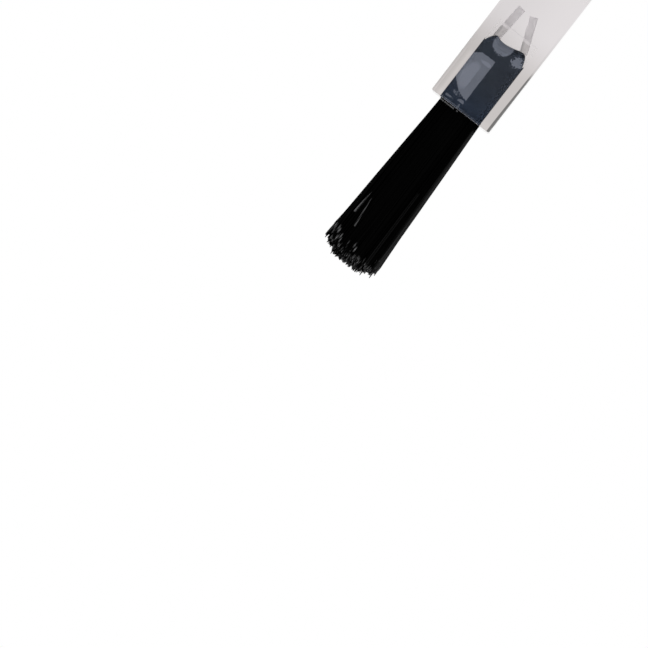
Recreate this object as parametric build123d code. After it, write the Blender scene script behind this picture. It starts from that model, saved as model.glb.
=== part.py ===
from build123d import *
import math
import os
import random

# Applicator brush of a nail-care bottle: a two-shell screw cap, a translucent wand pressed into it,
# and a folded tuft of black bristles that a flat-wire staple pins into the wand's flattened end.
# Millimetres. The cap stands on its flat top at Z = 0 and the bristles point up, along +Z.
# X runs across the tuft's broad side and Y through its thickness.

# ---- Bottle neck that the cap closes: a 15-415 finish ----
neck_thread_diameter = 14.6
neck_height = 14.0
neck_bore = 9.0

# ---- Closure: the threaded inner shell ----
thread_clearance = 0.1
neck_end_gap = 0.4
closure_wall = 0.8
closure_deck = 1.2
closure_recess = 0.3
lead_in = 0.35
rib_count = 36
rib_height = 0.22
rib_width = 0.55
rib_end_gap = 1.2
boss_wall = 1.2
boss_end = 0.9

# ---- Overcap: the outer shell that the fingers hold ----
overcap_height = 38.0
overcap_wall = 0.95
overcap_taper = 1.0
overcap_top = 1.4
cavity_wall = 1.15
top_edge_radius = 0.9
rim_chamfer = 0.25

# ---- Wand ----
wand_reach = 40.0
wand_end_radius = 2.28
wand_draft = 0.15
spigot_radius = 3.3
spigot_length = 5.8
spigot_end_gap = 0.2
spigot_lead = 0.4
snap_depth = 0.2
snap_half_width = 0.45
snap_from_seat = 3.4
flange_radius = 6.4
flange_thickness = 1.0
seal_clearance = 0.05
seal_length = 3.2
seal_land = 1.3
seal_nose = 0.5
root_chamfer = 1.0
flat_thickness = 3.1
flat_length = 11.0
flat_runout = 2.9
flat_corner = 0.2
wand_end_chamfer = 0.08

# ---- Socket in the wand's end, and the tuft folded into it ----
socket_width = 3.2
socket_thickness = 1.6
socket_corner = 0.3
fold_depth = 5.4
air_pocket = 0.8
fold_arch_radius = 0.62
left_shoulder_width = 0.5
left_shoulder_height = 0.55
right_shoulder_width = 0.55
right_shoulder_height = 0.8

# ---- Free bristles ----
bristle_reach = 12.2
tip_width = 4.15
tip_thickness = 2.25
tip_dome_across = 0.6
tip_dome_through = 0.8
tip_scatter = 0.16
strand_diameter = 0.1
strand_rows = 13
strand_columns = 27
strand_sides = 3
strand_embed = 0.05
strand_margin = 0.13
scatter_seed = 7

# ---- Staple: flat wire bent to a U, its legs driven on into the solid wand ----
staple_width = 0.42
staple_thickness = 0.3
staple_leg_reach = 2.2
staple_bridge_depth = 1.1
staple_bend_radius = 0.35
left_leg_at_fold = 1.08
left_leg_at_end = 0.93
right_leg_at_fold = -0.95
right_leg_at_end = -0.09

# ---- Working value of the picks, which changes no shape ----
pick_tolerance = 1e-4

# ---- Places that follow from the sizes above ----
bore_radius = neck_thread_diameter / 2 + thread_clearance
skirt_radius = bore_radius + closure_wall
grip_radius = skirt_radius + rib_height
rim_radius = grip_radius + overcap_wall
closure_height = closure_deck + flange_thickness + neck_height + neck_end_gap

z_rim = overcap_height
z_skirt = z_rim - closure_recess
z_deck = z_skirt - closure_height
z_seat = z_deck + closure_deck
z_seal = z_seat + flange_thickness
z_spigot = z_seat - spigot_length
z_boss = z_spigot - spigot_end_gap - boss_end
z_snap = z_seat - snap_from_seat
z_seal_end = z_seal + seal_length
z_end = z_seal + wand_reach
z_flat = z_end - flat_length
z_runout = z_flat - flat_runout
z_fold = z_end - fold_depth
z_pocket = z_fold - air_pocket
z_leg_end = z_fold - staple_leg_reach
z_bridge = z_fold + staple_bridge_depth
z_apex = z_end + bristle_reach

# The farthest places of the bristles from the tuft's axis, along X and Y.
room_across = socket_width / 2 - strand_margin
room_through = socket_thickness / 2 - strand_margin


def overcap_radius(z):
    """Outer radius of the tapered overcap at a height above its flat top."""
    return rim_radius - (z_rim - z) * math.tan(math.radians(overcap_taper))


def wand_radius(z):
    """Radius of the moulded rod, which grows by its draft from the brush end to the seal."""
    return wand_end_radius + (z_end - z) * math.tan(math.radians(wand_draft))


def turned(*points):
    """Solid turned about Z from a closed outline of (radius, height) points."""
    outline = Polyline(*[(r, 0, z) for r, z in points], close=True)
    return revolve(make_face(outline), Axis.Z)


def edges_at(shape, z, radius):
    """Round edges of a shape that lie at one height with one radius."""
    round_edges = shape.edges().filter_by(GeomType.CIRCLE)
    return round_edges.filter_by(
        lambda e: abs(e.center().Z - z) < pick_tolerance and abs(e.radius - radius) < pick_tolerance
    )


def make_overcap():
    """Tapered outer shell: a straight grip bore at the rim, a ledge for the closure, a hollow above."""
    shell = turned(
        (0, 0),
        (overcap_radius(0), 0),
        (rim_radius, z_rim),
        (grip_radius, z_rim),
        (grip_radius, z_deck),
        (overcap_radius(z_deck) - cavity_wall, z_deck),
        (overcap_radius(overcap_top) - cavity_wall, overcap_top),
        (0, overcap_top),
    )
    shell = fillet(edges_at(shell, 0, overcap_radius(0)), top_edge_radius)
    return chamfer(edges_at(shell, z_rim, rim_radius), rim_chamfer)


def make_closure():
    """Inner shell: a skirt round the bottle's thread, a deck, and a blind boss that grips the spigot."""
    socket_end = z_spigot - spigot_end_gap
    boss_radius = spigot_radius + boss_wall
    body = turned(
        (0, z_boss),
        (boss_radius, z_boss),
        (boss_radius, z_deck),
        (skirt_radius, z_deck),
        (skirt_radius, z_skirt),
        (bore_radius + lead_in, z_skirt),
        (bore_radius, z_skirt - lead_in),
        (bore_radius, z_seat),
        (spigot_radius, z_seat),
        (spigot_radius, z_snap + snap_half_width),
        (spigot_radius + snap_depth, z_snap),
        (spigot_radius, z_snap - snap_half_width),
        (spigot_radius, socket_end),
        (0, socket_end),
    )
    # Grip ribs bite into the overcap. Each starts inside the skirt and ends short of its mouth.
    rib_length = closure_height - rib_end_gap
    ring = Cylinder(grip_radius, rib_length) - Cylinder(bore_radius + closure_wall / 2, rib_length)
    rib = ring & Pos(skirt_radius, 0, 0) * Box(2 * closure_wall, rib_width, rib_length)
    rib = Pos(0, 0, z_deck + rib_length / 2) * rib
    return body + [Rot(0, 0, 360 * i / rib_count) * rib for i in range(rib_count)]


def wand_outline():
    """Half section of the wand's round part, from the spigot to where the flattened end begins."""
    seal_radius = neck_bore / 2 - seal_clearance
    seal_tip = seal_radius - seal_nose
    z_land = z_seal + seal_land
    z_root = z_seal_end + root_chamfer
    foot = Polyline(
        (0, 0, z_spigot),
        (spigot_radius - spigot_lead, 0, z_spigot),
        (spigot_radius, 0, z_spigot + spigot_lead),
        (spigot_radius, 0, z_snap - snap_half_width),
        (spigot_radius + snap_depth, 0, z_snap),
        (spigot_radius, 0, z_snap + snap_half_width),
        (spigot_radius, 0, z_seat),
        (flange_radius, 0, z_seat),
        (flange_radius, 0, z_seal),
        (seal_radius, 0, z_seal),
        (seal_radius, 0, z_land),
    )
    # Above its straight land the seal has a round nose that leads it into the bottle's bore.
    nose = TangentArc((seal_radius, 0, z_land), (seal_tip, 0, z_seal_end), tangent=(0, 0, 1))
    rod = Polyline(
        (seal_tip, 0, z_seal_end),
        (wand_radius(z_root) + root_chamfer, 0, z_seal_end),
        (wand_radius(z_root), 0, z_root),
        (wand_radius(z_runout), 0, z_runout),
        (0, 0, z_runout),
    )
    axis = Line((0, 0, z_runout), (0, 0, z_spigot))
    return make_face([*foot.edges(), nose, *rod.edges(), axis])


def corner_points(z):
    """Points round the flattened end's section at a height, two where each corner's rounding ends."""
    half_width, half_depth = wand_radius(z), flat_thickness / 2
    quarter = [(half_width, half_depth - flat_corner), (half_width - flat_corner, half_depth)]
    half = quarter + [(-x, y) for x, y in reversed(quarter)]
    return [Vector(x, y, z) for x, y in half + [(-x, -y) for x, y in half]]


def flat_section(z):
    """Section of the flattened end: as wide as the rod, with flats and rounded corners."""
    points = corner_points(z)
    sides = [Line(points[i - 1], points[i]) for i in (0, 2, 4, 6)]
    corners = [RadiusArc(points[i], points[i + 1], -flat_corner) for i in (0, 2, 4, 6)]
    return make_face([*sides, *corners])


def round_section(z):
    """Section of the rod, divided where the flattened end's section has its corner points."""
    centre = Vector(0, 0, z)
    radius = wand_radius(z)
    points = [centre + (point - centre).normalized() * radius for point in corner_points(z)]
    return make_face([RadiusArc(points[i - 1], points[i], -radius) for i in range(8)])


def socket_section():
    """Rounded slot that the folded tuft fills."""
    return RectangleRounded(socket_width, socket_thickness, socket_corner)


def staple_path():
    """Centre line of the staple's wire in the plane of the tuft's broad side."""
    return FilletPolyline(
        (left_leg_at_end, 0, z_leg_end),
        (left_leg_at_fold, 0, z_fold),
        (left_leg_at_fold, 0, z_bridge),
        (right_leg_at_fold, 0, z_bridge),
        (right_leg_at_fold, 0, z_fold),
        (right_leg_at_end, 0, z_leg_end),
        radius=staple_bend_radius,
    )


def make_staple():
    """Flat wire: legs up in the wand, bridge across the inside of the tuft's fold."""
    start = Plane(origin=(left_leg_at_end, 0, z_leg_end), z_dir=staple_path() % 0, x_dir=(0, 1, 0))
    return sweep(start * Rectangle(staple_thickness, staple_width), path=staple_path())


def make_wand(staple):
    """Moulded wand with its snap spigot, sealing flange, flattened end, tuft socket and staple slits."""
    wand = revolve(wand_outline(), Axis.Z)
    wand += loft([round_section(z_runout), flat_section(z_flat), flat_section(z_end)], ruled=True)
    end_face = wand.faces().sort_by(Axis.Z)[-1]
    wand = chamfer(end_face.edges(), wand_end_chamfer)
    wand -= Pos(0, 0, z_pocket) * extrude(socket_section(), amount=z_end - z_pocket)
    return wand - staple


def make_fold():
    """Root of the tuft, packed solid in the socket: arched where the bristles fold over the staple."""
    half_width = socket_width / 2
    half_depth = socket_thickness / 2
    packed = Pos(0, 0, z_fold) * extrude(socket_section(), amount=fold_depth)
    broad = Polyline(
        (-half_width, 0, z_end),
        (-half_width, 0, z_fold + right_shoulder_height),
        (-half_width + right_shoulder_width, 0, z_fold),
        (half_width - left_shoulder_width, 0, z_fold),
        (half_width, 0, z_fold + left_shoulder_height),
        (half_width, 0, z_end),
        close=True,
    )
    packed &= extrude(make_face(broad), amount=half_depth, dir=(0, 1, 0), both=True)
    side = fillet(
        make_face(
            Polyline(
                (0, -half_depth, z_end),
                (0, -half_depth, z_fold),
                (0, half_depth, z_fold),
                (0, half_depth, z_end),
                close=True,
            )
        )
        .vertices()
        .filter_by(lambda v: abs(v.Z - z_fold) < pick_tolerance),
        fold_arch_radius,
    )
    return packed & extrude(side, amount=half_width, dir=(1, 0, 0), both=True)


def inside_socket(x, y):
    """Whether a bristle's place keeps its margin from the socket's wall, also in the rounded corners."""
    over_x = max(abs(x) - (socket_width / 2 - socket_corner), 0)
    over_y = max(abs(y) - (socket_thickness / 2 - socket_corner), 0)
    return math.hypot(over_x, over_y) <= socket_corner - strand_margin + pick_tolerance


def strand_roots():
    """Places of the bristles where they leave the wand: every second row is shifted by half a pitch."""
    column_pitch = 2 * room_across / (strand_columns - 1)
    row_pitch = 2 * room_through / (strand_rows - 1)
    roots = []
    for row in range(strand_rows):
        shifted = row % 2
        for column in range(strand_columns - shifted):
            x = (column + shifted / 2) * column_pitch - room_across
            y = row * row_pitch - room_through
            if inside_socket(x, y):
                roots.append((x, y))
    return roots


def make_strand(x, y, scatter):
    """One bristle: a straight prism that fans out from its root to the domed tip."""
    across, through = x / room_across, y / room_through
    dome = tip_dome_across * across**2 + tip_dome_through * through**2
    tip_x = across * (tip_width - strand_diameter) / 2
    tip_y = through * (tip_thickness - strand_diameter) / 2
    root = Vector(x, y, z_end - strand_embed)
    tip = Vector(tip_x, tip_y, z_apex - dome - scatter)
    section = Pos(*root) * RegularPolygon(strand_diameter / 2, strand_sides)
    return extrude(section, amount=(tip - root).length, dir=(tip - root).normalized())


def make_tuft(staple):
    """Folded tuft: its packed root in the socket with every free bristle fused to it."""
    dice = random.Random(scatter_seed)
    roots = strand_roots()
    strands = [make_strand(x, y, dice.uniform(0, tip_scatter)) for x, y in roots]
    print("bristles", len(roots))
    return (make_fold() - staple) + strands


def main():
    os.makedirs("parts", exist_ok=True)
    staple = make_staple()
    pieces = {
        "overcap": make_overcap(),
        "closure": make_closure(),
        "wand": make_wand(staple),
        "staple": staple,
        "bristle_tuft": make_tuft(staple),
    }
    for name, piece in pieces.items():
        export_step(piece, f"parts/{name}.step")
        print(name, "solids", len(piece.solids()), "volume", round(piece.volume, 3))


main()
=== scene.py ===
import math
import random

import bmesh
import bpy
from bpy.props import FloatProperty, FloatVectorProperty, IntProperty, PointerProperty
from mathutils import Matrix, Vector


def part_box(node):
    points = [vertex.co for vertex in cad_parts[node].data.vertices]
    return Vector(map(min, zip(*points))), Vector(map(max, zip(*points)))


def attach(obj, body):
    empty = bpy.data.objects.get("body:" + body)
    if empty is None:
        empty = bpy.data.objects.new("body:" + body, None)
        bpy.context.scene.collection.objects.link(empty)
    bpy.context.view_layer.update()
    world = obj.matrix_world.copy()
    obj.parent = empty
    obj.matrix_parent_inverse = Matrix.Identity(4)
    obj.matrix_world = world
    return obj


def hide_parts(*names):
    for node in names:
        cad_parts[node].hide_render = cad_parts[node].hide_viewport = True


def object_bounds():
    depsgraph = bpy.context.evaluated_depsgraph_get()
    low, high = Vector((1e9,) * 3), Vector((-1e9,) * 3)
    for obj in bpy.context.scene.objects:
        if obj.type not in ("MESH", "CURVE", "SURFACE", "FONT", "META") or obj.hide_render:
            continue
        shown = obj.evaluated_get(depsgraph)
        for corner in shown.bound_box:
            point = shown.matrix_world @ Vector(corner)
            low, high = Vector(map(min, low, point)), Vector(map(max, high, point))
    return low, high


bl_info = {
    "name": "Bottle applicator brush",
    "version": (1, 0, 0),
    "blender": (4, 5, 0),
    "location": "View3D > Sidebar > Applicator",
    "description": "Builds a screw-cap applicator: cap, wand, staple and tuft",
    "category": "Add Mesh",
}

# The frame is in metres: the brush stands on its cap's flat top at Z = 0 with the bristles up.
# X runs across the tuft's broad side and Y through its thickness.
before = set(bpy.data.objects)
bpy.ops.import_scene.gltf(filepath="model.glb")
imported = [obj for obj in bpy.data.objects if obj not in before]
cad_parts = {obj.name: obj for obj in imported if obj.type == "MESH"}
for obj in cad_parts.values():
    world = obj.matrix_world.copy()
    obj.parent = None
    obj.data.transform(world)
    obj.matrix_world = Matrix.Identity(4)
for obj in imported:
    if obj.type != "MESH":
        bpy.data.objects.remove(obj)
cad_low, cad_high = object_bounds()
cap_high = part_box("overcap")[1]
closure_low, closure_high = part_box("closure")
wand_low, wand_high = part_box("wand")
staple_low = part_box("staple")[0]
tuft_low, tuft_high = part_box("bristle_tuft")

MM = 0.001
BODY = "root"
AXIS = Vector((0, 0, 1))
ORIGIN = Vector((0, 0, 0))
WELD = 1e-7
ROUND_STEPS = 144
SMOOTH_ANGLE = math.radians(28)
BEND_STEP = math.radians(9)


# ---- Settings that a user would change ----


def number(name, description, default, **how):
    """A plain number."""
    return FloatProperty(name=name, description=description, default=default, **how)


def count(name, description, default, least=1):
    """A whole number of things."""
    return IntProperty(name=name, description=description, default=default, min=least)


def length(name, description, millimetres):
    """A length, kept in metres and written here in millimetres."""
    return number(name, description, millimetres * MM, unit="LENGTH", precision=5)


def angle(name, description, degrees):
    """An angle, written here in degrees."""
    return number(name, description, math.radians(degrees), subtype="ANGLE")


def colour(name, description, default):
    """A colour in scene-linear red, green and blue."""
    return FloatVectorProperty(
        name=name, description=description, default=default, subtype="COLOR", size=3, min=0, max=1
    )


class OvercapSettings(bpy.types.PropertyGroup):
    wall: length("Rim wall", "Wall beside the closure", 0.95)
    cavity_wall: length("Cavity wall", "Wall round the hollow", 1.15)
    top: length("Top", "Thickness of the flat top", 1.4)
    top_edge: length("Top edge", "Radius of the flat top's edge", 0.9)
    rim_edge: length("Rim edge", "Radius of the rim's outer edge", 0.25)
    inner_edge: length("Inner edge", "Radius of the rim's inner edge", 0.1)
    taper: angle("Taper", "Taper of the side", 1)
    shell: colour("Shell", "Colour of the glossy shell", (0.011, 0.011, 0.012))


class ClosureSettings(bpy.types.PropertyGroup):
    wall: length("Wall", "Wall of the skirt", 0.8)
    deck: length("Deck", "Thickness under the flange", 1.2)
    boss_wall: length("Boss wall", "Wall of the boss round the spigot", 1.2)
    boss_end: length("Boss end", "Thickness of the boss's closed end", 0.9)
    rib_height: length("Rib height", "How far a rib stands out of the skirt", 0.22)
    rib_width: length("Rib width", "Width of a grip rib", 0.55)
    rib_end_gap: length("Rib end gap", "Gap between the ribs and the mouth", 1.2)
    rib_count: count("Ribs", "Grip ribs round the skirt", 36, 3)
    lead_in: length("Lead-in", "Chamfer at the mouth of the bore", 0.35)
    pitch: length("Thread pitch", "Advance of the thread in one turn", 2.12)
    thread_depth: length("Thread depth", "Height of the thread over the bore", 0.72)
    thread_base: length("Thread base", "Width of the thread at the wall", 1.35)
    thread_crest: length("Thread crest", "Width of the thread at its crest", 0.45)
    thread_seat: length("Thread seat", "Depth of the thread's foot in the wall", 0.05)
    thread_start: length("Thread start", "Depth of its start under the mouth", 1.9)
    thread_turns: number("Turns", "Turns of the thread", 2.25, min=1)
    moulding: colour("Moulding", "Colour of the inner closure", (0.76, 0.76, 0.74))


class WandSettings(bpy.types.PropertyGroup):
    end_radius: length("End radius", "Radius of the rod at the brush end", 2.28)
    draft: angle("Draft", "Taper of the rod", 0.15)
    spigot_radius: length("Spigot radius", "Radius of the spigot in the boss", 3.3)
    spigot_length: length("Spigot length", "Length of the spigot under the flange", 5.8)
    spigot_lead: length("Spigot lead", "Chamfer at the spigot's end", 0.4)
    flange: length("Flange", "Thickness of the sealing flange", 1.0)
    seal_radius: length("Seal radius", "Radius of the sealing plug", 4.45)
    seal_length: length("Seal length", "Length of the plug", 3.2)
    seal_land: length("Seal land", "Straight part of the plug", 1.3)
    seal_nose: length("Seal nose", "How far the plug's nose draws in", 0.5)
    root_chamfer: length("Root chamfer", "Step from the plug to the rod", 1.0)
    flat_thickness: length("Across the flats", "Thickness of the flattened end", 3.1)
    flat_length: length("Flat length", "Length of the flats", 11.0)
    flat_runout: length("Run-out", "Length of the flats' run-out", 2.9)
    square_radius: length("Square corner", "Reach of the flat end's corners", 2.62)
    end_chamfer: length("End chamfer", "Chamfer round the rod's end", 0.08)
    slot_width: length("Slot width", "Width of the tuft's socket", 3.2)
    slot_thickness: length("Slot thickness", "Thickness of the tuft's socket", 1.6)
    slot_corner: length("Slot corner", "Corner radius of the tuft's socket", 0.3)
    slot_draw: length("Slot draw", "How far the socket's side at -X stands in", 0.12)
    pocket: length("Pocket", "Air in the socket beyond the fold", 0.8)
    plastic: colour("Plastic", "Tint of the translucent plastic", (0.715, 0.685, 0.692))
    pressed: colour("Pressed plastic", "Tint of plastic pressed round the tuft", (0.55, 0.52, 0.51))
    # Painted shade: the dark line along the -X corners beside the tuft, and its length.
    side: colour("Dark side", "Tint of the line along the -X side", (0.05, 0.05, 0.05))
    painted_line_length: length("Dark side length", "Length of the dark line", 5.1)
    frosted: colour("Frosted end", "Colour of the frosted end face", (0.78, 0.765, 0.77))


class StapleSettings(bpy.types.PropertyGroup):
    width: length("Wire width", "Width of the flat wire", 0.53)
    thickness: length("Wire thickness", "Thickness of the flat wire", 0.3)
    edge: length("Wire edge", "Radius along the wire's edges", 0.05)
    bend: length("Bend", "Radius of the wire's bends", 0.35)
    bridge_depth: length("Bridge depth", "How far the bridge lies inside the fold", 1.1)
    kink: length("Kink", "Radius where a leg starts to lean", 0.6)
    cut_slant: length("Cut", "Room for the legs' slanted ends", 0.04)
    left_leg: length("Left leg", "Place of the left leg at the fold", 1.07)
    right_leg: length("Right leg", "Place of the right leg at the fold", 0.89)
    left_lean: length("Left lean", "How far the left leg's end leans in", 0.17)
    right_lean: length("Right lean", "How far the right leg's end leans in", 0.90)
    metal: colour("Metal", "Colour of the wire", (0.72, 0.71, 0.72))
    # Painted light: the wire's lit and shaded sides in the air pocket, and its highlight near the
    # pocket's floor.
    lit: colour("Lit metal", "Colour of its lit side in the air pocket", (0.70, 0.69, 0.69))
    shaded: colour("Shaded metal", "Colour of its +X side in the air pocket", (0.52, 0.52, 0.52))
    bright: colour("Bright metal", "Colour of the wire at the pocket's floor", (0.88, 0.87, 0.88))


class TuftSettings(bpy.types.PropertyGroup):
    strands: count("Bristles", "Free bristles", 1150)
    clumps: count("Clumps", "Clumps that the tips draw into", 70)
    clumping: number("Clumping", "How far the tips are drawn in", 0.35, min=0, max=1)
    seed: count("Seed", "Seed of the bristles' scatter", 11)
    diameter: length("Bristle diameter", "Diameter of one bristle", 0.085)
    tip_width: length("Tip width", "Width of the tuft at its tip", 4.02)
    tip_thickness: length("Tip thickness", "Thickness of the tuft at its tip", 2.2)
    mouth_inset: length("Mouth inset", "Room round the bristles at the mouth", 0.085)
    press: length("Press", "How far the root presses into the wall", 0.02)
    root_sink: length("Root sink", "How far the root stays under the end", 0.04)
    arch: length("Fold radius", "Radius of the fold over the wire", 0.62)
    left_shoulder: length("Left shoulder", "Width of the fold's shoulder at +X", 0.55)
    left_drop: length("Left drop", "Height of the fold's shoulder at +X", 0.54)
    left_curve: number("Left curve", "How rounded the shoulder at +X is", 1.45)
    right_shoulder: length("Right shoulder", "Width of the fold's shoulder at -X", 0.60)
    right_drop: length("Right drop", "Height of the fold's shoulder at -X", 0.72)
    right_curve: number("Right curve", "How rounded the shoulder at -X is", 2.2)
    slope: number("Slope", "How the fold rises towards +X", 0.06)
    left_peak: length("Left peak", "Where the fold's dip starts at +X", 0.95)
    right_peak: length("Right peak", "Where the fold's dip ends at -X", 0.75)
    dip: length("Dip", "Depth of the dip between the staple's legs", 0.17)
    black: colour("Black", "Colour of the bristles", (0.0003, 0.0003, 0.0003))
    # Painted highlights: the grey of the flecks, cut ends, streaks, sheen and mouth line on the
    # bristles.
    worn: colour("Flecks", "Colour of the flecks near their ends", (0.16, 0.16, 0.163))
    packed: colour("Packed root", "Colour of the root at its fold", (0.044, 0.056, 0.076))
    packed_mouth: colour("Root's mouth", "Colour of the root at the mouth", (0.031, 0.046, 0.076))
    # Painted reflection: the grey of the air gaps between the root and the wall.
    air_gap_reflection: colour("Air", "Colour of the root's patches behind air", (0.310, 0.355, 0.438))


class StageSettings(bpy.types.PropertyGroup):
    distance: length("Camera distance", "Distance from the brush", 376)
    field: length("Field", "Width of the picture at the brush", 41.27)
    aim_across: length("Aim across", "Picture centre, across the tuft", -1.385)
    aim_beyond: length("Aim beyond", "Picture centre, beyond the wand's end", 15.97)
    roll: angle("Roll", "Roll of the camera", 217.65)
    turn: angle("Turn", "Turn of the camera towards -X", 1.5)
    tilt: angle("Tilt", "Height of the camera as an angle", -0.7)
    floor_radius: length("Floor", "Radius of the floor", 260)
    paper: colour("Paper", "Colour of the floor", (0.86, 0.86, 0.86))


# ---- Small tools of the bench ----


def everything(bm):
    """All that lies on the bench."""
    return bm.verts[:] + bm.edges[:] + bm.faces[:]


def rounded(bm, geom, radius, segments, affect="VERTICES"):
    """Rounds off some corners or edges."""
    bmesh.ops.bevel(
        bm, geom=geom, offset=radius, segments=segments, profile=0.5, affect=affect, material=-1
    )


def spun(bm, angle, steps, **how):
    """Turns all that lies on the bench about Z, and leaves a trace of it or copies."""
    bmesh.ops.spin(
        bm, geom=everything(bm), cent=ORIGIN, axis=AXIS, angle=angle, steps=steps, **how
    )


def turned(outline, rounds=()):
    """A shape turned about Z from (radius, height) points; rounds lists (point, radius)."""
    bm = bmesh.new()
    line = [bm.verts.new((radius, 0, height)) for radius, height in outline]
    for start, end in zip(line, line[1:]):
        bm.edges.new((start, end))
    for corner, radius in rounds:
        rounded(bm, [line[corner]], radius, 5)
    spun(bm, math.tau, ROUND_STEPS, use_merge=True)
    bmesh.ops.remove_doubles(bm, verts=bm.verts, dist=WELD)
    return bm


def bridged(bm, edges):
    """Joins two rings with faces, enlarged meanwhile: the operator takes small rings for flat."""
    bmesh.ops.scale(bm, verts=bm.verts, vec=(1 / MM, 1 / MM, 1 / MM))
    bmesh.ops.bridge_loops(bm, edges=edges)
    bmesh.ops.scale(bm, verts=bm.verts, vec=(MM, MM, MM))


def mesh_from(bm, name):
    """What lies on the bench as a mesh. The bench is cleared away."""
    mesh = bpy.data.meshes.new(name)
    bm.to_mesh(mesh)
    bm.free()
    return mesh


def joined(bm, other):
    """Takes another bench's mesh onto this one."""
    mesh = mesh_from(other, "passing_over")
    bm.from_mesh(mesh)
    bpy.data.meshes.remove(mesh)


def placed(name, data):
    """A new object in the scene for a mesh, a light or a camera."""
    thing = bpy.data.objects.new(name, data)
    bpy.context.scene.collection.objects.link(thing)
    return thing


def smooth(share):
    """Eases a share from 0 to 1."""
    return share * share * (3 - 2 * share)


def finished(bm, name, material, slot, *nodes):
    """The bench's mesh as a piece of the brush that stands for CAD nodes."""
    bmesh.ops.recalc_face_normals(bm, faces=bm.faces)
    mesh = mesh_from(bm, name)
    mesh.shade_smooth()
    mesh.set_sharp_from_angle(angle=SMOOTH_ANGLE)
    mesh.materials.append(material)
    piece = placed(name, mesh)
    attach(piece, BODY)
    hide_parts(*nodes)
    return piece


def slot_ring(bm, wand, height):
    """A ring round the socket's section: a circle whose quarters are moved out to the corners."""
    half_across = wand.slot_width / 2 - wand.slot_corner
    half_through = wand.slot_thickness / 2 - wand.slot_corner
    made = bmesh.ops.create_circle(bm, segments=ROUND_STEPS, radius=wand.slot_corner)
    for vertex in made["verts"]:
        side = [0 if abs(value) < WELD else math.copysign(1, value) for value in vertex.co.xy]
        vertex.co += Vector((side[0] * half_across, side[1] * half_through, height))
        if side[0] < 0:
            vertex.co.x += wand.slot_draw
    return list({edge for vertex in made["verts"] for edge in vertex.link_edges})


# ---- Materials, with their lengths in millimetres ----


def in_mm(*lengths):
    """Lengths in millimetres."""
    return [value / MM for value in lengths]


class Value:
    """A number that varies over a surface: a node's output that sums can be written with."""

    def __init__(self, made, socket):
        self.made, self.socket = made, socket

    def __add__(self, other):
        return self.made.maths("ADD", self, other)

    def __sub__(self, other):
        return self.made.maths("SUBTRACT", self, other)

    def __rsub__(self, other):
        return self.made.maths("SUBTRACT", other, self)

    def __mul__(self, other):
        return self.made.maths("MULTIPLY", self, other)

    def __truediv__(self, other):
        return self.made.maths("DIVIDE", self, other)

    def __abs__(self):
        return self.made.maths("ABSOLUTE", self)

    __radd__ = __add__
    __rmul__ = __mul__


class Nodes:
    """A node tree, with helpers that name what they add."""

    def __init__(self, owner):
        owner.use_nodes = True
        self.tree = owner.node_tree

    def set(self, node, socket, value):
        """Sets a node's socket from a number, a colour or another node's output."""
        target = node.inputs[socket]
        if isinstance(value, Value):
            value = value.socket
        if isinstance(value, bpy.types.NodeSocket):
            self.tree.links.new(value, target)
        elif hasattr(value, "__len__") and len(value) == 3 and len(target.default_value) == 4:
            target.default_value = (*value, 1)
        else:
            target.default_value = value

    def add(self, kind, inputs=(), **fields):
        """A node with its fields and its inputs, given as (socket, value) pairs."""
        node = self.tree.nodes.new(kind)
        for field, value in fields.items():
            setattr(node, field, value)
        for socket, value in inputs:
            self.set(node, socket, value)
        return node

    def maths(self, operation, *values):
        """One sum on numbers or values."""
        node = self.add("ShaderNodeMath", enumerate(values), operation=operation)
        return Value(self, node.outputs[0])

    def largest(self, first, *others):
        """The largest of some values."""
        for other in others:
            first = self.maths("MAXIMUM", first, other)
        return first


class Finish(Nodes):
    """A material round one Principled shader."""

    def __init__(self, name, **sockets):
        self.material = bpy.data.materials.new(name)
        super().__init__(self.material)
        self.shader = self.tree.nodes["Principled BSDF"]
        self.shade(**sockets)
        self.place = self.add("ShaderNodeTexCoord").outputs["Object"]

    def shade(self, **sockets):
        """Sets the shader's sockets, named with underscores for spaces."""
        for name, value in sockets.items():
            self.set(self.shader, name.replace("_", " "), value)

    def axes(self):
        """The place's X, Y and Z."""
        node = self.add("ShaderNodeSeparateXYZ", (("Vector", self.place),))
        return in_mm(*(Value(self, output) for output in node.outputs))

    def noise(self, grain, detail=2.0, stretch=(1, 1, 1)):
        """Noise whose features are about the grain's length, stretched along the axes."""
        scale = tuple(1 / (grain * MM * share) for share in stretch)
        mapping = self.add("ShaderNodeMapping", (("Vector", self.place), ("Scale", scale)))
        inputs = (("Vector", mapping.outputs["Vector"]), ("Scale", 1.0), ("Detail", detail))
        return Value(self, self.add("ShaderNodeTexNoise", inputs).outputs["Fac"])

    def ramp(self, value, low, high, start=0.0, end=1.0):
        """Turns a value smoothly from start at low to end at high."""
        names = ("Value", "From Min", "From Max", "To Min", "To Max")
        inputs = zip(names, (value, low, high, start, end))
        node = self.add("ShaderNodeMapRange", inputs, interpolation_type="SMOOTHSTEP")
        return Value(self, node.outputs["Result"])

    def mix(self, share, first, second):
        """A colour between two others."""
        inputs = ((0, share), (6, first), (7, second))
        return self.add("ShaderNodeMix", inputs, data_type="RGBA").outputs[2]

    def bump(self, height, depth):
        """Relief of a given depth on the whole surface."""
        inputs = (("Height", height), ("Distance", depth * MM), ("Strength", 1.0))
        self.shade(Normal=self.add("ShaderNodeBump", inputs).outputs["Normal"])


def glossy_shell(cap):
    """Black gloss moulding: fine waviness of the mould and faint rub marks in its gloss."""
    made = Finish("glossy_black_shell", Base_Color=cap.shell, IOR=1.49)
    rubs = made.noise(1.6, 6.0, stretch=(1, 1, 0.35))
    made.shade(Roughness=made.ramp(rubs, 0.35, 0.75, 0.09, 0.2))
    made.bump(made.noise(2.4, 1.0), 0.006)
    return made.material


def satin_closure(closure):
    """White satin moulding of the inner closure, slightly uneven in tone."""
    made = Finish("satin_white_moulding", Roughness=0.42, IOR=1.48)
    darker = [0.93 * value for value in closure.moulding]
    made.shade(Base_Color=made.mix(made.noise(3.0, 3.0), darker, closure.moulding))
    made.bump(made.noise(0.12), 0.003)
    return made.material


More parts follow.
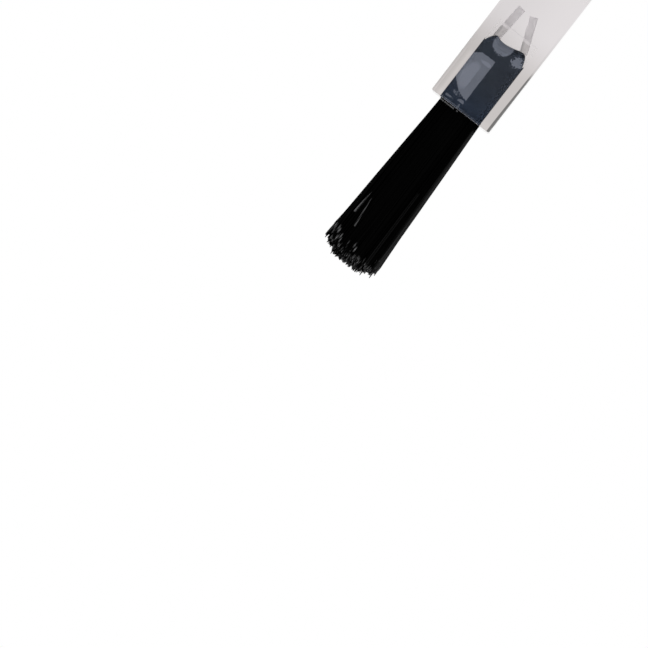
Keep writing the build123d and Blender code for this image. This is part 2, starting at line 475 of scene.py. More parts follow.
def clear_wand(wand):
    """Milky translucent plastic: greyer where it is pressed round the tuft; painted light makes it
    lighter at its end and towards -X.
    """
    made = Finish("milky_clear_plastic", Specular_Tint=(0.1, 0.1, 0.1), IOR=1.2)
    x, y, z = made.axes()
    across, through = abs(x), abs(y)
    half_width, half_depth = in_mm(wand.slot_width / 2, wand.slot_thickness / 2)
    edge, flat, side = in_mm(wand.end_radius, wand.flat_thickness / 2, wand.painted_line_length)
    end = wand_high.z / MM

    def from_end(far, near, start=0, stop=1):
        """A factor that changes over a stretch of the rod, given as distances from its end."""
        return made.ramp(z, end - far, end - near, start, stop)

    tint = made.mix(from_end(7.2, 3.4), wand.plastic, wand.pressed)
    # Painted light: the rod is lighter towards -X, darker towards +X and lighter at its very end.
    painted_side_light = made.ramp(x, -2.0, 2.0, 1.05, 0.97)
    painted_end_light = from_end(0.8, 0.2, 1, 1.07)
    # Painted shade darkens the wand's edge at +X a little, and a painted highlight lies as a light
    # border along the tuft.
    rim = made.ramp(x, edge - 0.17, edge - 0.12, 0, 0.09) * from_end(6.0, 4.0)
    off = abs(x - (half_width + 0.18))
    border = made.ramp(off, 0.06, 0.2, 1, 0) * from_end(3.8, 3.2)
    for factor in (painted_side_light, painted_end_light, 1 - rim, 1 + 0.12 * border):
        inputs = ((0, tint), ("Scale", factor))
        tint = made.add("ShaderNodeVectorMath", inputs, operation="SCALE").outputs["Vector"]
    # Painted shade: beside the tuft the two corners at -X carry a dark line, which narrows and runs
    # on faintly.
    width = from_end(side, 0.5, 0.08, 0.16)
    line = made.ramp(x + edge - width, 0, 0.05, 1, 0)
    line *= made.ramp(through, flat - 0.32, flat - 0.24)
    line *= made.largest(from_end(side, side - 1.0), from_end(9.0, 5.5, 0, 0.17))
    tint = made.mix(line, tint, wand.side)
    # The end face is frosted, less where it is thin over the tuft.
    face = from_end(0.03, 0.01)
    face *= made.ramp(across, half_width, half_width + 0.1, 0.3, 1)
    tint = made.mix(face, tint, wand.frosted)
    # The socket's own walls add no tint. Beyond the flats the thick rod is milky.
    socket = made.ramp(across, half_width + 0.05, half_width + 0.15, 1, 0)
    socket *= made.ramp(through, half_depth + 0.05, half_depth + 0.15, 1, 0)
    made.shade(
        Base_Color=made.mix(socket, tint, (1, 1, 1)),
        Transmission_Weight=from_end(12.4, 10.0, 0.65, 1) - 0.75 * face,
        Roughness=made.ramp(made.noise(2.2), 0.3, 0.8, 0.02, 0.06),
    )
    made.bump(made.noise(1.8, 1.0, stretch=(1, 1, 3)), 0.002)
    return made.material


def staple_wire(staple, pocket):
    """Bright flat wire with drawing lines; in the air pocket shade is painted on it towards +X,
    with a painted highlight near the pocket's floor.
    """
    made = Finish("satin_flat_wire", Metallic=1.0)
    x, _, z = made.axes()
    left, right, half = in_mm(staple.left_leg, -staple.right_leg, staple.width / 2)
    fold, depth = in_mm(tuft_low.z, pocket)
    beyond = fold - z
    reach = tuft_low.z - staple_low.z
    left = left - staple.left_lean / reach * beyond
    right = right + staple.right_lean / reach * beyond
    centre = right + made.maths("GREATER_THAN", x, 0) * (left - right)
    # Painted light in the air pocket: shade towards +X, and a highlight near the pocket's floor.
    painted_pocket_light = made.mix(made.ramp((x - centre) / half, 0.0, 0.6), staple.lit, staple.shaded)
    painted_pocket_light = made.mix(made.ramp(beyond, 0.56, 0.66), painted_pocket_light, staple.bright)
    in_pocket = made.ramp(beyond, depth - 0.02, depth + 0.02, 1, 0)
    lines = made.noise(0.05, stretch=(1, 1, 30))
    made.shade(
        Base_Color=made.mix(in_pocket, staple.metal, painted_pocket_light),
        Roughness=made.ramp(lines, 0.3, 0.7, 0.3, 0.45),
    )
    made.bump(lines, 0.0015)
    return made.material


def packed_root(tuft):
    """Packed bristles behind clear plastic: dark where they touch it, with grey painted reflections
    where air lies between them and the wall.
    """
    made = Finish("packed_bristle_root", Roughness=0.5, Specular_IOR_Level=0.05)
    x, _, z = made.axes()
    ragged, fine = made.noise(0.22, 3.0) - 0.5, made.noise(0.16) - 0.5
    across = ragged * 0.10 + x
    under_end = wand_high.z / MM - z
    depth = ragged * 0.14 + under_end

    def blob(centre, size, edge=0.12, tears=0.0):
        """Share of painted reflection of air in an oval patch, whose edge may be torn."""
        u, v = (across - centre[0]) / size[0], (depth - centre[1]) / size[1]
        reach = made.maths("SQRT", u * u + v * v)
        return made.ramp(fine * tears + reach, 1 - edge, 1, 1, 0)

    # Painted reflections of the air gaps: the large patch has a straight side near the axis, a
    # rounded top corner and a curved foot.
    bow, corner = across - 0.1, made.largest(across - 1.0, 0.0)
    foot = depth + fine * 0.35 - 0.40 * bow * bow
    head = depth + 0.9 * corner * corner
    large = made.ramp(across, 0.10, 0.15) * made.ramp(foot, 0.74, 0.82)
    large *= made.ramp(head, 3.80, 3.88, 1, 0)
    # The painted reflection at the fold has a torn foot; the one at -X is torn all round.
    oval = blob((0.35, 5.0), (0.74, 0.76)) * made.ramp(depth + fine, 4.38, 4.44)
    star = blob((-1.0, 4.62), (0.37, 0.38), tears=1.7)
    # Smudges of painted reflection run from the large patch's foot to the mouth, which has a thin
    # painted highlight as its rim.
    smudges = made.largest(
        blob((0.84, 0.84), (0.42, 0.20), 0.3, 1.5) * made.ramp(fine, -0.03, 0.03, 0.1, 1),
        blob((0.34, 0.55), (0.24, 0.14), 0.3, 1.6),
        blob((0.30, 0.2), (0.10, 0.14), 0.5, 2.0),
        blob((1.2, 0.38), (0.36, 0.10), 0.5, 2.0),
        made.ramp(across, 0.35, 0.45, 0.4, 1) * made.ramp(under_end, 0.14, 0.17, 1, 0),
    )
    # The painted reflection of the large patch is lightest in a lobe with a clear border and along
    # its head.
    lobe = blob((0.95, 2.2), (0.62, 1.15), 0.35) * made.ramp(across + 0.1 * fine, 0.62, 0.68)
    crest = blob((0.50, 3.42), (0.5, 0.15), 0.4) * large
    air = made.largest(large, oval, star, 0.7 * smudges)
    air *= 0.70 + 0.30 * made.largest(lobe, crest)
    dark = made.mix(made.ramp(depth, 0, 3, 1, 0), tuft.packed, tuft.packed_mouth)
    made.shade(Base_Color=made.mix(air, dark, tuft.air_gap_reflection))
    return made.material


def black_filament(tuft):
    """Black filament with painted highlights: grey cut ends, and light streaks where bristles cling
    together.
    """
    made = Finish("black_filament", Roughness=0.42, Specular_IOR_Level=0.01)
    fleck = made.add("ShaderNodeAttribute", attribute_name="light").outputs["Fac"]
    across, through, z = made.axes()
    reach = z - wand_high.z / MM

    def streak(start, end, widening, strength, core=0.6, least=0.02):
        """A painted highlight streak between two places (across, reach) that widens towards the
        tip.
        """
        share = (reach - start[1]) / (end[1] - start[1])
        share = Value(made, made.add("ShaderNodeClamp", (("Value", share),)).outputs[0])
        off = abs(across - (share * (end[0] - start[0]) + start[0])) / (share * widening + least)
        body = made.ramp(reach, start[1], start[1] + 0.3)
        tail = made.ramp(reach, end[1], end[1] - 0.1)
        return made.ramp(off, core, 1.0, strength, 0) * body * tail

    # Painted highlight at the socket's mouth, as a line at +X and a small mark near the axis.
    mouth_highlight = made.ramp(reach, 0.11, 0.15, 0.95, 0) * made.ramp(reach, 0.04, 0.07)
    mouth_glint = made.ramp(abs(across - 0.17), 0.03, 0.07, 0.9, 0)
    # Painted highlights on the front: streaks where bristles cling together, a faint one at -X and
    # the mouth's edge.
    in_front = made.largest(
        streak((1.33, 7.4), (1.43, 9.15), 0.08, 0.65),
        streak((1.09, 7.7), (0.86, 9.9), 0.06, 0.4),
        streak((-1.11, 5.6), (-1.19, 11.5), 0.06, 0.035, 0.2, 0.10),
        mouth_highlight * made.largest(made.ramp(across, 0.4, 0.45), mouth_glint),
    ) * made.ramp(through, -0.5, -0.3, 1, 0)
    # The tuft's side at -X has a soft sheen.
    sheen = streak((-1.48, 0.3), (-2.02, 12.0), 0.18, 0.12, 0.2, 0.18)
    # The painted highlights and sheen take the bristles' black towards the fleck grey.
    light = made.largest(fleck, in_front, sheen)
    made.shade(Base_Color=made.mix(light, tuft.black, tuft.worn))
    return made.material


def pale_paper(stage):
    """Matt floor that fades to plain white towards its edge, so that no edge of it shows."""
    made = Finish("pale_paper", Base_Color=stage.paper, Roughness=0.9)
    reach = made.add("ShaderNodeVectorMath", ((0, made.place),), operation="LENGTH")
    radius = stage.floor_radius
    fade = made.ramp(reach.outputs["Value"], 0.25 * radius, 0.9 * radius)
    white = made.add("ShaderNodeEmission", (("Strength", 1.0),)).outputs[0]
    seen = made.add("ShaderNodeLightPath").outputs["Is Camera Ray"]
    inputs = ((0, fade * seen), (1, made.shader.outputs[0]), (2, white))
    both = made.add("ShaderNodeMixShader", inputs)
    made.set(made.tree.nodes["Material Output"], "Surface", both.outputs[0])
    return made.material


# ---- Pieces ----


def seat_height(wand):
    """Height of the deck that the wand's flange sits on."""
    return wand_low.z + wand.spigot_length


class BRUSH_OT_overcap(bpy.types.Operator):
    """Tapered outer shell of the cap, with its hollow over the closure"""

    bl_idname = "brush.overcap"
    bl_label = "Overcap"

    def execute(self, context):
        scene = context.scene
        cap, closure, wand = scene.brush_cap, scene.brush_closure, scene.brush_wand
        rim = cap_high.x
        grip = rim - cap.wall
        deck = seat_height(wand) - closure.deck

        def side(height):
            return rim - (cap_high.z - height) * math.tan(cap.taper)

        outline = (
            (0, 0),
            (side(0), 0),
            (rim, cap_high.z),
            (grip, cap_high.z),
            (grip, deck),
            (side(deck) - cap.cavity_wall, deck),
            (side(cap.top) - cap.cavity_wall, cap.top),
            (0, cap.top),
        )
        rounds = ((1, cap.top_edge), (2, cap.rim_edge), (3, cap.inner_edge))
        shell = turned(outline, rounds)
        finished(shell, "overcap_shell", glossy_shell(cap), "cap_gloss", "overcap")
        return {"FINISHED"}


# Rounding of a grip rib and of the thread's crest, as shares of their widths.
RIB_ROUNDING, CREST_ROUNDING = 0.3, 0.35
# Stretch over which each end of the thread runs out, in turns, and its least height as a share.
THREAD_RUN_OUT, THREAD_LEAST = 0.15, 0.02


class BRUSH_OT_closure(bpy.types.Operator):
    """Inner closure with its grip ribs, boss and right-hand thread"""

    bl_idname = "brush.closure"
    bl_label = "Closure"

    def execute(self, context):
        closure, wand = context.scene.brush_closure, context.scene.brush_wand
        skirt = closure_high.x - closure.rib_height
        bore = skirt - closure.wall
        mouth = closure_high.z
        seat = seat_height(wand)
        deck = seat - closure.deck
        spigot, low = wand.spigot_radius, closure_low.z
        boss = spigot + closure.boss_wall
        outline = (
            (0, low),
            (boss, low),
            (boss, deck),
            (skirt, deck),
            (skirt, mouth),
            (bore + closure.lead_in, mouth),
            (bore, mouth - closure.lead_in),
            (bore, seat),
            (spigot, seat),
            (spigot, low + closure.boss_end),
            (0, low + closure.boss_end),
        )
        mouth_edges = ((4, 0.1 * MM), (5, 0.08 * MM))
        bm = turned(outline, mouth_edges)
        joined(bm, self.ribs(closure, skirt, deck, mouth))
        joined(bm, self.thread(closure, bore, mouth))
        finished(bm, "closure_moulding", satin_closure(closure), "closure_plastic", "closure")
        return {"FINISHED"}

    def ribs(self, closure, skirt, deck, mouth):
        """Grip ribs from the deck to short of the mouth, as turned copies of one rounded bar."""
        tall = mouth - closure.rib_end_gap - deck
        bm = bmesh.new()
        bmesh.ops.create_cube(bm, size=1.0)
        bmesh.ops.scale(bm, verts=bm.verts, vec=(2 * closure.rib_height, closure.rib_width, tall))
        bmesh.ops.translate(bm, verts=bm.verts, vec=(skirt, 0, deck + tall / 2))
        outer = [edge for edge in bm.edges if all(vertex.co.x > skirt for vertex in edge.verts)]
        rounded(bm, outer, RIB_ROUNDING * closure.rib_width, 2, "EDGES")
        copies = closure.rib_count - 1
        spun(bm, math.tau * copies / closure.rib_count, copies, use_duplicate=True)
        return bm

    def thread(self, closure, bore, mouth):
        """Right-hand thread: a profile spun up along a helix, with both ends run out."""
        steps = round(closure.thread_turns * ROUND_STEPS / 2)
        rise = closure.thread_turns * closure.pitch
        bottom = mouth - closure.thread_start - rise
        root = bore + closure.thread_seat
        crest = bore - closure.thread_depth
        foot, top = closure.thread_base / 2, closure.thread_crest / 2
        corners = ((root, -foot), (crest, -top), (crest, top), (root, foot))
        bm = bmesh.new()
        bm.faces.new([bm.verts.new((radius, 0, bottom + height)) for radius, height in corners])
        inner = [vertex for vertex in bm.verts if vertex.co.x < bore]
        rounded(bm, inner, CREST_ROUNDING * closure.thread_crest, 3)
        points = len(bm.verts)
        spun(bm, math.tau * closure.thread_turns, steps, dvec=(0, 0, rise / steps))
        for index, vertex in enumerate(bm.verts):
            turns = (index // points) / steps * closure.thread_turns
            left = min(turns, closure.thread_turns - turns)
            share = min(1, max(THREAD_LEAST, left / THREAD_RUN_OUT))
            radius = vertex.co.xy.length
            vertex.co.xy *= (root + (radius - root) * smooth(share)) / radius
        return bm


class BRUSH_OT_wand(bpy.types.Operator):
    """Moulded wand: spigot, flange and plug, drafted rod, flattened end and the tuft's socket"""

    bl_idname = "brush.wand"
    bl_label = "Wand"

    def execute(self, context):
        wand = context.scene.brush_wand
        bm = turned(self.outline(wand))
        self.flatten(bm, wand)
        self.add_socket(bm, wand)
        piece = finished(bm, "wand_moulding", clear_wand(wand), "wand_plastic", "wand")
        # The flats stay flat to light, next to their rounded edges.
        piece.modifiers.new("flat faces", "WEIGHTED_NORMAL").keep_sharp = True
        return {"FINISHED"}

    def rod_radius(self, wand, height):
        """Radius of the rod before its end is flattened."""
        return wand.end_radius + (wand_high.z - height) * math.tan(wand.draft)

    def outline(self, wand):
        """Half section of the wand up to its end, with close rings where the flats run."""
        end, seat, flange = wand_high.z, seat_height(wand), wand_high.x
        spigot, lead = wand.spigot_radius, wand.spigot_lead
        seal = seat + wand.flange
        land, plug_end = seal + wand.seal_land, seal + wand.seal_length
        root = plug_end + wand.root_chamfer
        points = [
            (0, wand_low.z),
            (spigot - lead, wand_low.z),
            (spigot, wand_low.z + lead),
            (spigot, seat),
            (flange, seat),
            (flange, seal),
            (wand.seal_radius, seal),
        ]
        nose_steps = 10
        for step in range(nose_steps + 1):
            share = step / nose_steps
            drawn_in = wand.seal_nose * (1 - math.sqrt(1 - share**2))
            points.append((wand.seal_radius - drawn_in, land + share * (plug_end - land)))
        points += [
            (self.rod_radius(wand, root) + wand.root_chamfer, plug_end),
            (self.rod_radius(wand, root), root),
        ]
        rings = 16
        shares = [1 - ring / rings for ring in range(rings + 1)]
        heights = [end - wand.flat_length - wand.flat_runout * share for share in shares]
        for height in (*heights, end - wand.end_chamfer, end):
            points.append((self.rod_radius(wand, height), height))
        return points

    def flatten(self, bm, wand):
        """Presses the rod's end to its squared section, which the round rod runs out into."""
        start = wand_high.z - wand.flat_length - wand.flat_runout
        for vertex in bm.verts:
            height = vertex.co.z
            share = min(1, (height - start) / wand.flat_runout)
            if share <= 0:
                continue
            chamfer = max(0, height - (wand_high.z - wand.end_chamfer))
            limits = (self.rod_radius(wand, height), wand.flat_thickness / 2)
            corner = vertex.co.xy.normalized() * wand.square_radius
            for axis, limit in enumerate(limits):
                room = limit - chamfer
                corner[axis] = max(-room, min(room, corner[axis]))
            vertex.co.xy = vertex.co.xy.lerp(corner, share)

    def add_socket(self, bm, wand):
        """The end face and the socket in it, down to the floor of the air pocket."""
        rim = [edge for edge in bm.edges if edge.is_boundary]
        for height in (wand_high.z, tuft_low.z - wand.pocket):
            ring = slot_ring(bm, wand, height)
            bridged(bm, rim + ring)
            rim = ring
        bmesh.ops.edgeloop_fill(bm, edges=rim)


class BRUSH_OT_staple(bpy.types.Operator):
    """Flat wire staple across the fold of the tuft"""

    bl_idname = "brush.staple"
    bl_label = "Staple"

    def execute(self, context):
        staple = context.scene.brush_staple
        fold = tuft_low.z
        bridge = fold + staple.bridge_depth
        reach = fold - staple_low.z
        left_angle = math.atan2(staple.left_lean, reach)
        right_angle = math.atan2(staple.right_lean, reach)
        corner = Vector((staple.left_leg - staple.left_lean, 0, staple_low.z + staple.cut_slant))
        wire = Wire(staple, corner, left_angle)
        wire.forward((fold - corner.z) / math.cos(left_angle))
        wire.bend(-left_angle, staple.kink)
        wire.forward(bridge - staple.bend - wire.at.z)
        wire.bend(-math.pi / 2, staple.bend)
        wire.forward(wire.at.x + staple.right_leg - staple.bend)
        wire.bend(-math.pi / 2, staple.bend)
        wire.forward(wire.at.z - fold)
        wire.bend(-right_angle, staple.kink)
        wire.forward((wire.at.z - staple_low.z - staple.cut_slant) / math.cos(right_angle))
        metal = staple_wire(staple, context.scene.brush_wand.pocket)
        finished(wire.bm, "flat_wire_staple", metal, "staple_metal", "staple")
        return {"FINISHED"}


class Wire:
    """A flat wire drawn on from its end face, in the XZ plane."""

    def __init__(self, staple, start, heading):
        self.bm = bmesh.new()
        self.at, self.heading = start, heading
        grid = bmesh.ops.create_grid(self.bm, x_segments=1, y_segments=1, size=0.5)
        bmesh.ops.scale(self.bm, verts=grid["verts"], vec=(staple.width, staple.thickness, 1))
        rounded(self.bm, grid["verts"], staple.edge, 3)
        turn = Matrix.Rotation(heading, 3, "Y")
        bmesh.ops.rotate(self.bm, verts=self.bm.verts, cent=ORIGIN, matrix=turn)
        bmesh.ops.translate(self.bm, verts=self.bm.verts, vec=start)
        self.end = everything(self.bm)

    def forward(self, distance):
        """Draws the wire straight on."""
        self.end = bmesh.ops.extrude_face_region(self.bm, geom=self.end)["geom"]
        step = Vector((math.sin(self.heading), 0, math.cos(self.heading))) * distance
        moved = [item for item in self.end if isinstance(item, bmesh.types.BMVert)]
        bmesh.ops.translate(self.bm, verts=moved, vec=step)
        self.at = self.at + step

    def bend(self, angle, radius):
        """Bends the wire round: a negative angle turns it towards -X."""
        across = Vector((math.cos(self.heading), 0, -math.sin(self.heading)))
        centre = self.at + across * math.copysign(radius, angle)
        steps = max(2, round(abs(angle) / BEND_STEP))
        made = bmesh.ops.spin(
            self.bm, geom=self.end, cent=centre, axis=(0, 1, 0), angle=angle, steps=steps
        )
        self.end = made["geom_last"]
        self.heading += angle
        self.at = centre + Matrix.Rotation(angle, 3, "Y") @ (self.at - centre)


# Cuts across each side of the block that the packed root is made from.
ROOT_CUTS = 39
# A strand of length 1: the rises of its rings, its sides and how narrow its worn tip is.
STRAND_RISES = (0.3, 0.3, 0.2, 0.1, 0.02, 0.02, 0.02, 0.02, 0.02)
STRAND_SIDES, WORN_TIP = 5, 0.55
# How far places in a disc are drawn out to the corners, in the socket's mouth and at the tip.
MOUTH_CORNERS, TIP_CORNERS = 0.3, 0.12
# The tip's dome: how many millimetres it drops towards +X, -X and the broad sides.
DOME_LEFT, DOME_RIGHT, DOME_THROUGH = 1.15, 0.75, 0.72
# Scatter in millimetres: of all ends, of a share of short and of long ones, and at the +X corner.
TIP_ROOM, LENGTH_SCATTER = 0.13, 0.07
SHORT_SHARE, SHORT_BY, LONG_SHARE, LONG_BY = 0.06, 0.7, 0.05, 0.12
CORNER_FROM, CORNER_BY = 0.93, 0.45
ROOT_OVERLAP, BOW, SPLAY = 0.2, 0.02, 0.035
# Painted highlight flecks lie at a clump's ring, shifted a little, or at the cut end. They are
# denser towards +X.
RINGS, SHIFTS, RING_REACH = (0.94, 0.94, 0.96, 0.98), (-0.02, 0, 0, 0.02), 0.01
DENSE_FROM, DENSE, SPARSE, BORDER_FROM = 0.4, 0.8, 0.15, 0.8
LEAST_LIGHT, CUT_END_LIGHT = 0.4, 0.8
# How far the dip between the staple's legs leans towards +X.
DIP_SKEW = 0.7


class BRUSH_OT_tuft(bpy.types.Operator):
    """Tuft: its packed, folded root in the socket, and the free bristles with their ragged tips"""

    bl_idname = "brush.tuft"
    bl_label = "Bristle tuft"

    def execute(self, context):
        tuft, wand = context.scene.brush_tuft, context.scene.brush_wand
        self.make_root(tuft, wand)
        self.make_bristles(tuft, wand)
        return {"FINISHED"}

    def make_root(self, tuft, wand):
        """Packed root: a fine block pressed to the socket's section and arched at the fold."""
        bm = bmesh.new()
        bmesh.ops.create_cube(bm, size=2.0)
        bmesh.ops.subdivide_edges(bm, edges=bm.edges, cuts=ROOT_CUTS, use_grid_fill=True)
        half = Vector((wand.slot_width, wand.slot_thickness)) / 2 + Vector((tuft.press, tuft.press))
        corner = wand.slot_corner + tuft.press
        mouth = wand_high.z - tuft.root_sink
        for vertex in bm.verts:
            place = [vertex.co.x * half.x, vertex.co.y * half.y]
            beyond = Vector([max(0, abs(place[axis]) - half[axis] + corner) for axis in (0, 1)])
            if beyond.length > WELD:
                beyond *= max(beyond) / beyond.length
                for axis in (0, 1):
                    core = min(abs(place[axis]), half[axis] - corner)
                    place[axis] = math.copysign(core + beyond[axis], place[axis])
            if place[0] < 0:
                place[0] *= 1 - wand.slot_draw / half.x
            fold = self.fold_height(tuft, wand, half, *place)
            vertex.co = (*place, fold + (mouth - fold) * (vertex.co.z + 1) / 2)
        finished(bm, "packed_root", packed_root(tuft), "bristle", "bristle_tuft")

    def fold_height(self, tuft, wand, half, across, through):
        """Height of the folded end: an arch with two shoulders and a dip between the legs."""
        if across > 0:
            side, width, drop, curve = half.x, tuft.left_shoulder, tuft.left_drop, tuft.left_curve
        else:
            side = half.x - wand.slot_draw
            width, drop, curve = tuft.right_shoulder, tuft.right_drop, tuft.right_curve
        shoulder = max(0, 1 - (side - abs(across)) / width)
        arch = min(1, max(0, 1 - (half.y - abs(through)) / tuft.arch))
        height = tuft_low.z + drop * shoulder**curve + tuft.arch * (1 - math.sqrt(1 - arch**2))
        height += tuft.slope * (across + tuft.right_peak) if across > -tuft.right_peak else 0
        between = (tuft.left_peak - across) / (tuft.left_peak + tuft.right_peak)
        if 0 < between < 1:
            height += tuft.dip * math.sin(math.pi * between**DIP_SKEW)
        return height

    def make_bristles(self, tuft, wand):
        """Free bristles: one drawn strand repeated, each on its own line to the tip."""
        dice = random.Random(tuft.seed)
        strand = self.strand_mesh(tuft)
        points = len(strand.vertices)
        bm = bmesh.new()
        light = bm.verts.layers.float.new("light")
        clumps = [self.in_disc(dice) for _ in range(tuft.clumps)]
        rings = [dice.choice(RINGS) for _ in clumps]
        for _ in range(tuft.strands):
            bm.from_mesh(strand)
            bm.verts.ensure_lookup_table()
            self.lay_strand(bm.verts[-points:], light, dice, clumps, rings, tuft, wand)
        finished(bm, "bristles", black_filament(tuft), "bristle", "bristle_tuft")
        bpy.data.meshes.remove(strand)

    def in_disc(self, dice):
        """A random place in a disc of radius 1."""
        reach, bearing = math.sqrt(dice.random()), math.tau * dice.random()
        return Vector((reach * math.cos(bearing), reach * math.sin(bearing)))

    def strand_mesh(self, tuft):
        """One bristle along Z from 0 to 1 with a section of the bristle's radius and a worn tip."""
        bm = bmesh.new()
        bmesh.ops.create_circle(bm, segments=STRAND_SIDES, radius=tuft.diameter / 2)
        edges = bm.edges[:]
        for rise in STRAND_RISES:
            made = bmesh.ops.extrude_edge_only(bm, edges=edges)["geom"]
            verts = [item for item in made if isinstance(item, bmesh.types.BMVert)]
            edges = [item for item in made if isinstance(item, bmesh.types.BMEdge)]
            bmesh.ops.translate(bm, verts=verts, vec=(0, 0, rise))
        for vertex in verts:
            vertex.co.xy *= WORN_TIP
        bmesh.ops.holes_fill(bm, edges=bm.edges)
        return mesh_from(bm, "strand")

    def lay_strand(self, verts, light, dice, clumps, rings, tuft, wand):
        """Bends one strand from its place in the socket's mouth to its place at the tip."""
        disc = self.in_disc(dice)
        cornerwards = math.sin(2 * math.atan2(disc.y, disc.x)) ** 2
        # The socket is filled into its corners, so a disc place is drawn out towards them.
        full = disc * (1 + MOUTH_CORNERS * cornerwards)
        inset = tuft.mouth_inset + tuft.diameter / 2
        room = Vector((wand.slot_width, wand.slot_thickness)) / 2 - Vector((inset, inset))
        packed = Vector([max(-1, min(1, full[axis])) * room[axis] for axis in (0, 1)])
        size = Vector((tuft.tip_width, tuft.tip_thickness)) / 2
        tip = disc * (1 + TIP_CORNERS * cornerwards) * size
        nearest = min(clumps, key=lambda clump: (clump - disc).length)
        clumped = (nearest - disc) * size * tuft.clumping
        domed = (DOME_LEFT if disc.x > 0 else DOME_RIGHT) * abs(disc.x) ** 3
        domed += DOME_THROUGH * disc.y**2
        length_error = dice.gauss(0, LENGTH_SCATTER)
        if dice.random() < SHORT_SHARE:
            length_error -= SHORT_BY * dice.random()
        elif dice.random() < LONG_SHARE:
            length_error += LONG_BY + LONG_BY * dice.random()
        if disc.x > CORNER_FROM:
            length_error += CORNER_BY * dice.random()
        top = min(tuft_high.z, tuft_high.z + (length_error - domed - TIP_ROOM) * MM)
        bottom = wand_high.z - tuft.root_sink - ROOT_OVERLAP * MM
        bow = Vector((dice.gauss(0, BOW), dice.gauss(0, BOW))) * MM
        splay = Vector((dice.gauss(0, SPLAY), dice.gauss(0, SPLAY))) * MM
        twist = Matrix.Rotation(math.tau * dice.random(), 2)
        lightness, ring = self.fleck(dice, disc, rings[clumps.index(nearest)])
        for vertex in verts:
            share = vertex.co.z
            section = twist @ vertex.co.xy
            line = packed.lerp(tip, share) + bow * math.sin(math.pi * share)
            line += clumped * share**7 + splay * share**5
            vertex.co = (line.x + section.x, line.y + section.y, bottom + (top - bottom) * share)
            vertex[light] = lightness if abs(share - ring) < RING_REACH else 0.0

    def fleck(self, dice, disc, ring):
        """How light a strand's painted highlight fleck is, and its place: the cut end or its
        clump's ring.
        """
        share = DENSE if disc.x > DENSE_FROM else SPARSE
        if ring < max(RINGS) and dice.random() < share:
            shift = dice.choice(SHIFTS)
            lightness = LEAST_LIGHT + (1 - LEAST_LIGHT) * dice.random()
            return lightness, ring + (abs(shift) if disc.x > BORDER_FROM else shift)
        return CUT_END_LIGHT * dice.random() ** 2, 1.0


# ---- Stage ----

FLOOR_SIDES = 96
# The lamps face a place at this share of the brush's height.
LAMP_AIM = 0.6


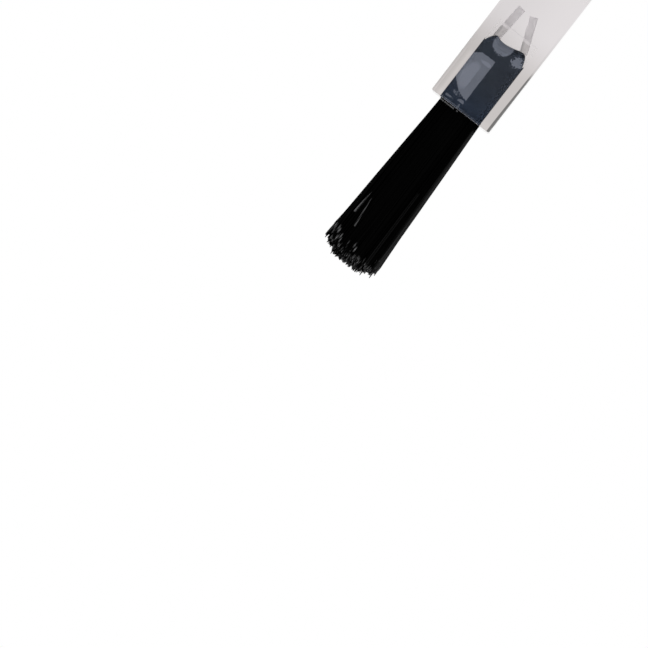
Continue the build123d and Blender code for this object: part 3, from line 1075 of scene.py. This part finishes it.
class BRUSH_OT_stage(bpy.types.Operator):
    """Pale floor, white surround, soft lamps and the camera"""

    bl_idname = "brush.stage"
    bl_label = "Stage"

    def execute(self, context):
        stage = context.scene.brush_stage
        self.make_floor(stage)
        self.make_surround(context.scene)
        # Name, place and size in metres, and power in watts.
        lamps = (
            ("key_lamp", (-0.26, -0.34, 0.30), 0.30, 0.95),
            ("fill_lamp", (0.36, -0.24, 0.16), 0.34, 0.60),
            ("back_lamp", (0.10, 0.42, 0.30), 0.34, 0.70),
        )
        for name, place, size, power in lamps:
            self.make_lamp(name, Vector(place), size, power)
        self.make_camera(context.scene, stage)
        context.scene.view_settings.view_transform = "Standard"
        return {"FINISHED"}

    def make_floor(self, stage):
        """A round sheet of pale paper under the cap."""
        bm = bmesh.new()
        bmesh.ops.create_circle(
            bm, cap_ends=True, segments=FLOOR_SIDES, radius=stage.floor_radius
        )
        mesh = mesh_from(bm, "paper_floor")
        mesh.materials.append(pale_paper(stage))
        placed("paper_floor", mesh)

    def make_surround(self, scene):
        """White for the camera, in gloss and through clear plastic; grey light for the rest."""
        world = bpy.data.worlds.new("studio")
        scene.world = world
        sky = Nodes(world)
        background = sky.tree.nodes["Background"]
        rays = sky.add("ShaderNodeLightPath").outputs
        kinds = ("Is Camera Ray", "Is Glossy Ray", "Is Transmission Ray")
        white = sky.largest(*(rays[kind] for kind in kinds))
        sky.set(background, "Color", (1, 1, 1))
        sky.set(background, "Strength", 0.5 + 0.5 * white)

    def make_lamp(self, name, place, size, power):
        """A soft square lamp that faces the brush."""
        light = bpy.data.lights.new(name, "AREA")
        light.size = size
        light.energy = power
        lamp = placed(name, light)
        aim = Vector((0, 0, LAMP_AIM * cad_high.z))
        lamp.location = place
        lamp.rotation_euler = (aim - place).to_track_quat("-Z", "Y").to_euler()

    def make_camera(self, scene, stage):
        """Looks along +Y at the bristles, rolled so that they point down to the left."""
        data = bpy.data.cameras.new("camera")
        data.lens = data.sensor_width * stage.distance / stage.field
        camera = placed("camera", data)
        level = Vector((0, -math.cos(stage.tilt), math.sin(stage.tilt)))
        back = Matrix.Rotation(-stage.turn, 3, "Z") @ level
        facing = back.to_track_quat("Z", "Y").to_matrix() @ Matrix.Rotation(stage.roll, 3, "Z")
        aim = Vector((stage.aim_across, 0, wand_high.z + stage.aim_beyond))
        camera.matrix_world = Matrix.Translation(aim + back * stage.distance) @ facing.to_4x4()
        scene.camera = camera


class BRUSH_PT_applicator(bpy.types.Panel):
    """Lists the pieces of the applicator brush"""

    bl_idname = "BRUSH_PT_applicator"
    bl_label = "Applicator brush"
    bl_space_type = "VIEW_3D"
    bl_region_type = "UI"
    bl_category = "Applicator"

    def draw(self, context):
        for operator in OPERATORS:
            self.layout.operator(operator.bl_idname)
        for name, group in SETTINGS.items():
            box = self.layout.box()
            box.label(text=group.__name__)
            for field in group.__annotations__:
                box.prop(getattr(context.scene, name), field)


SETTINGS = {
    "brush_cap": OvercapSettings,
    "brush_closure": ClosureSettings,
    "brush_wand": WandSettings,
    "brush_staple": StapleSettings,
    "brush_tuft": TuftSettings,
    "brush_stage": StageSettings,
}
OPERATORS = (
    BRUSH_OT_overcap,
    BRUSH_OT_closure,
    BRUSH_OT_wand,
    BRUSH_OT_staple,
    BRUSH_OT_tuft,
    BRUSH_OT_stage,
)
CLASSES = (*SETTINGS.values(), *OPERATORS, BRUSH_PT_applicator)


def register():
    for owner in CLASSES:
        bpy.utils.register_class(owner)
    for name, group in SETTINGS.items():
        setattr(bpy.types.Scene, name, PointerProperty(type=group))


def unregister():
    for name in SETTINGS:
        delattr(bpy.types.Scene, name)
    for owner in reversed(CLASSES):
        bpy.utils.unregister_class(owner)


def main():
    register()
    bpy.ops.brush.stage()
    bpy.ops.brush.overcap()
    bpy.ops.brush.closure()
    bpy.ops.brush.wand()
    bpy.ops.brush.staple()
    bpy.ops.brush.tuft()


if __name__ == "__main__":
    main()
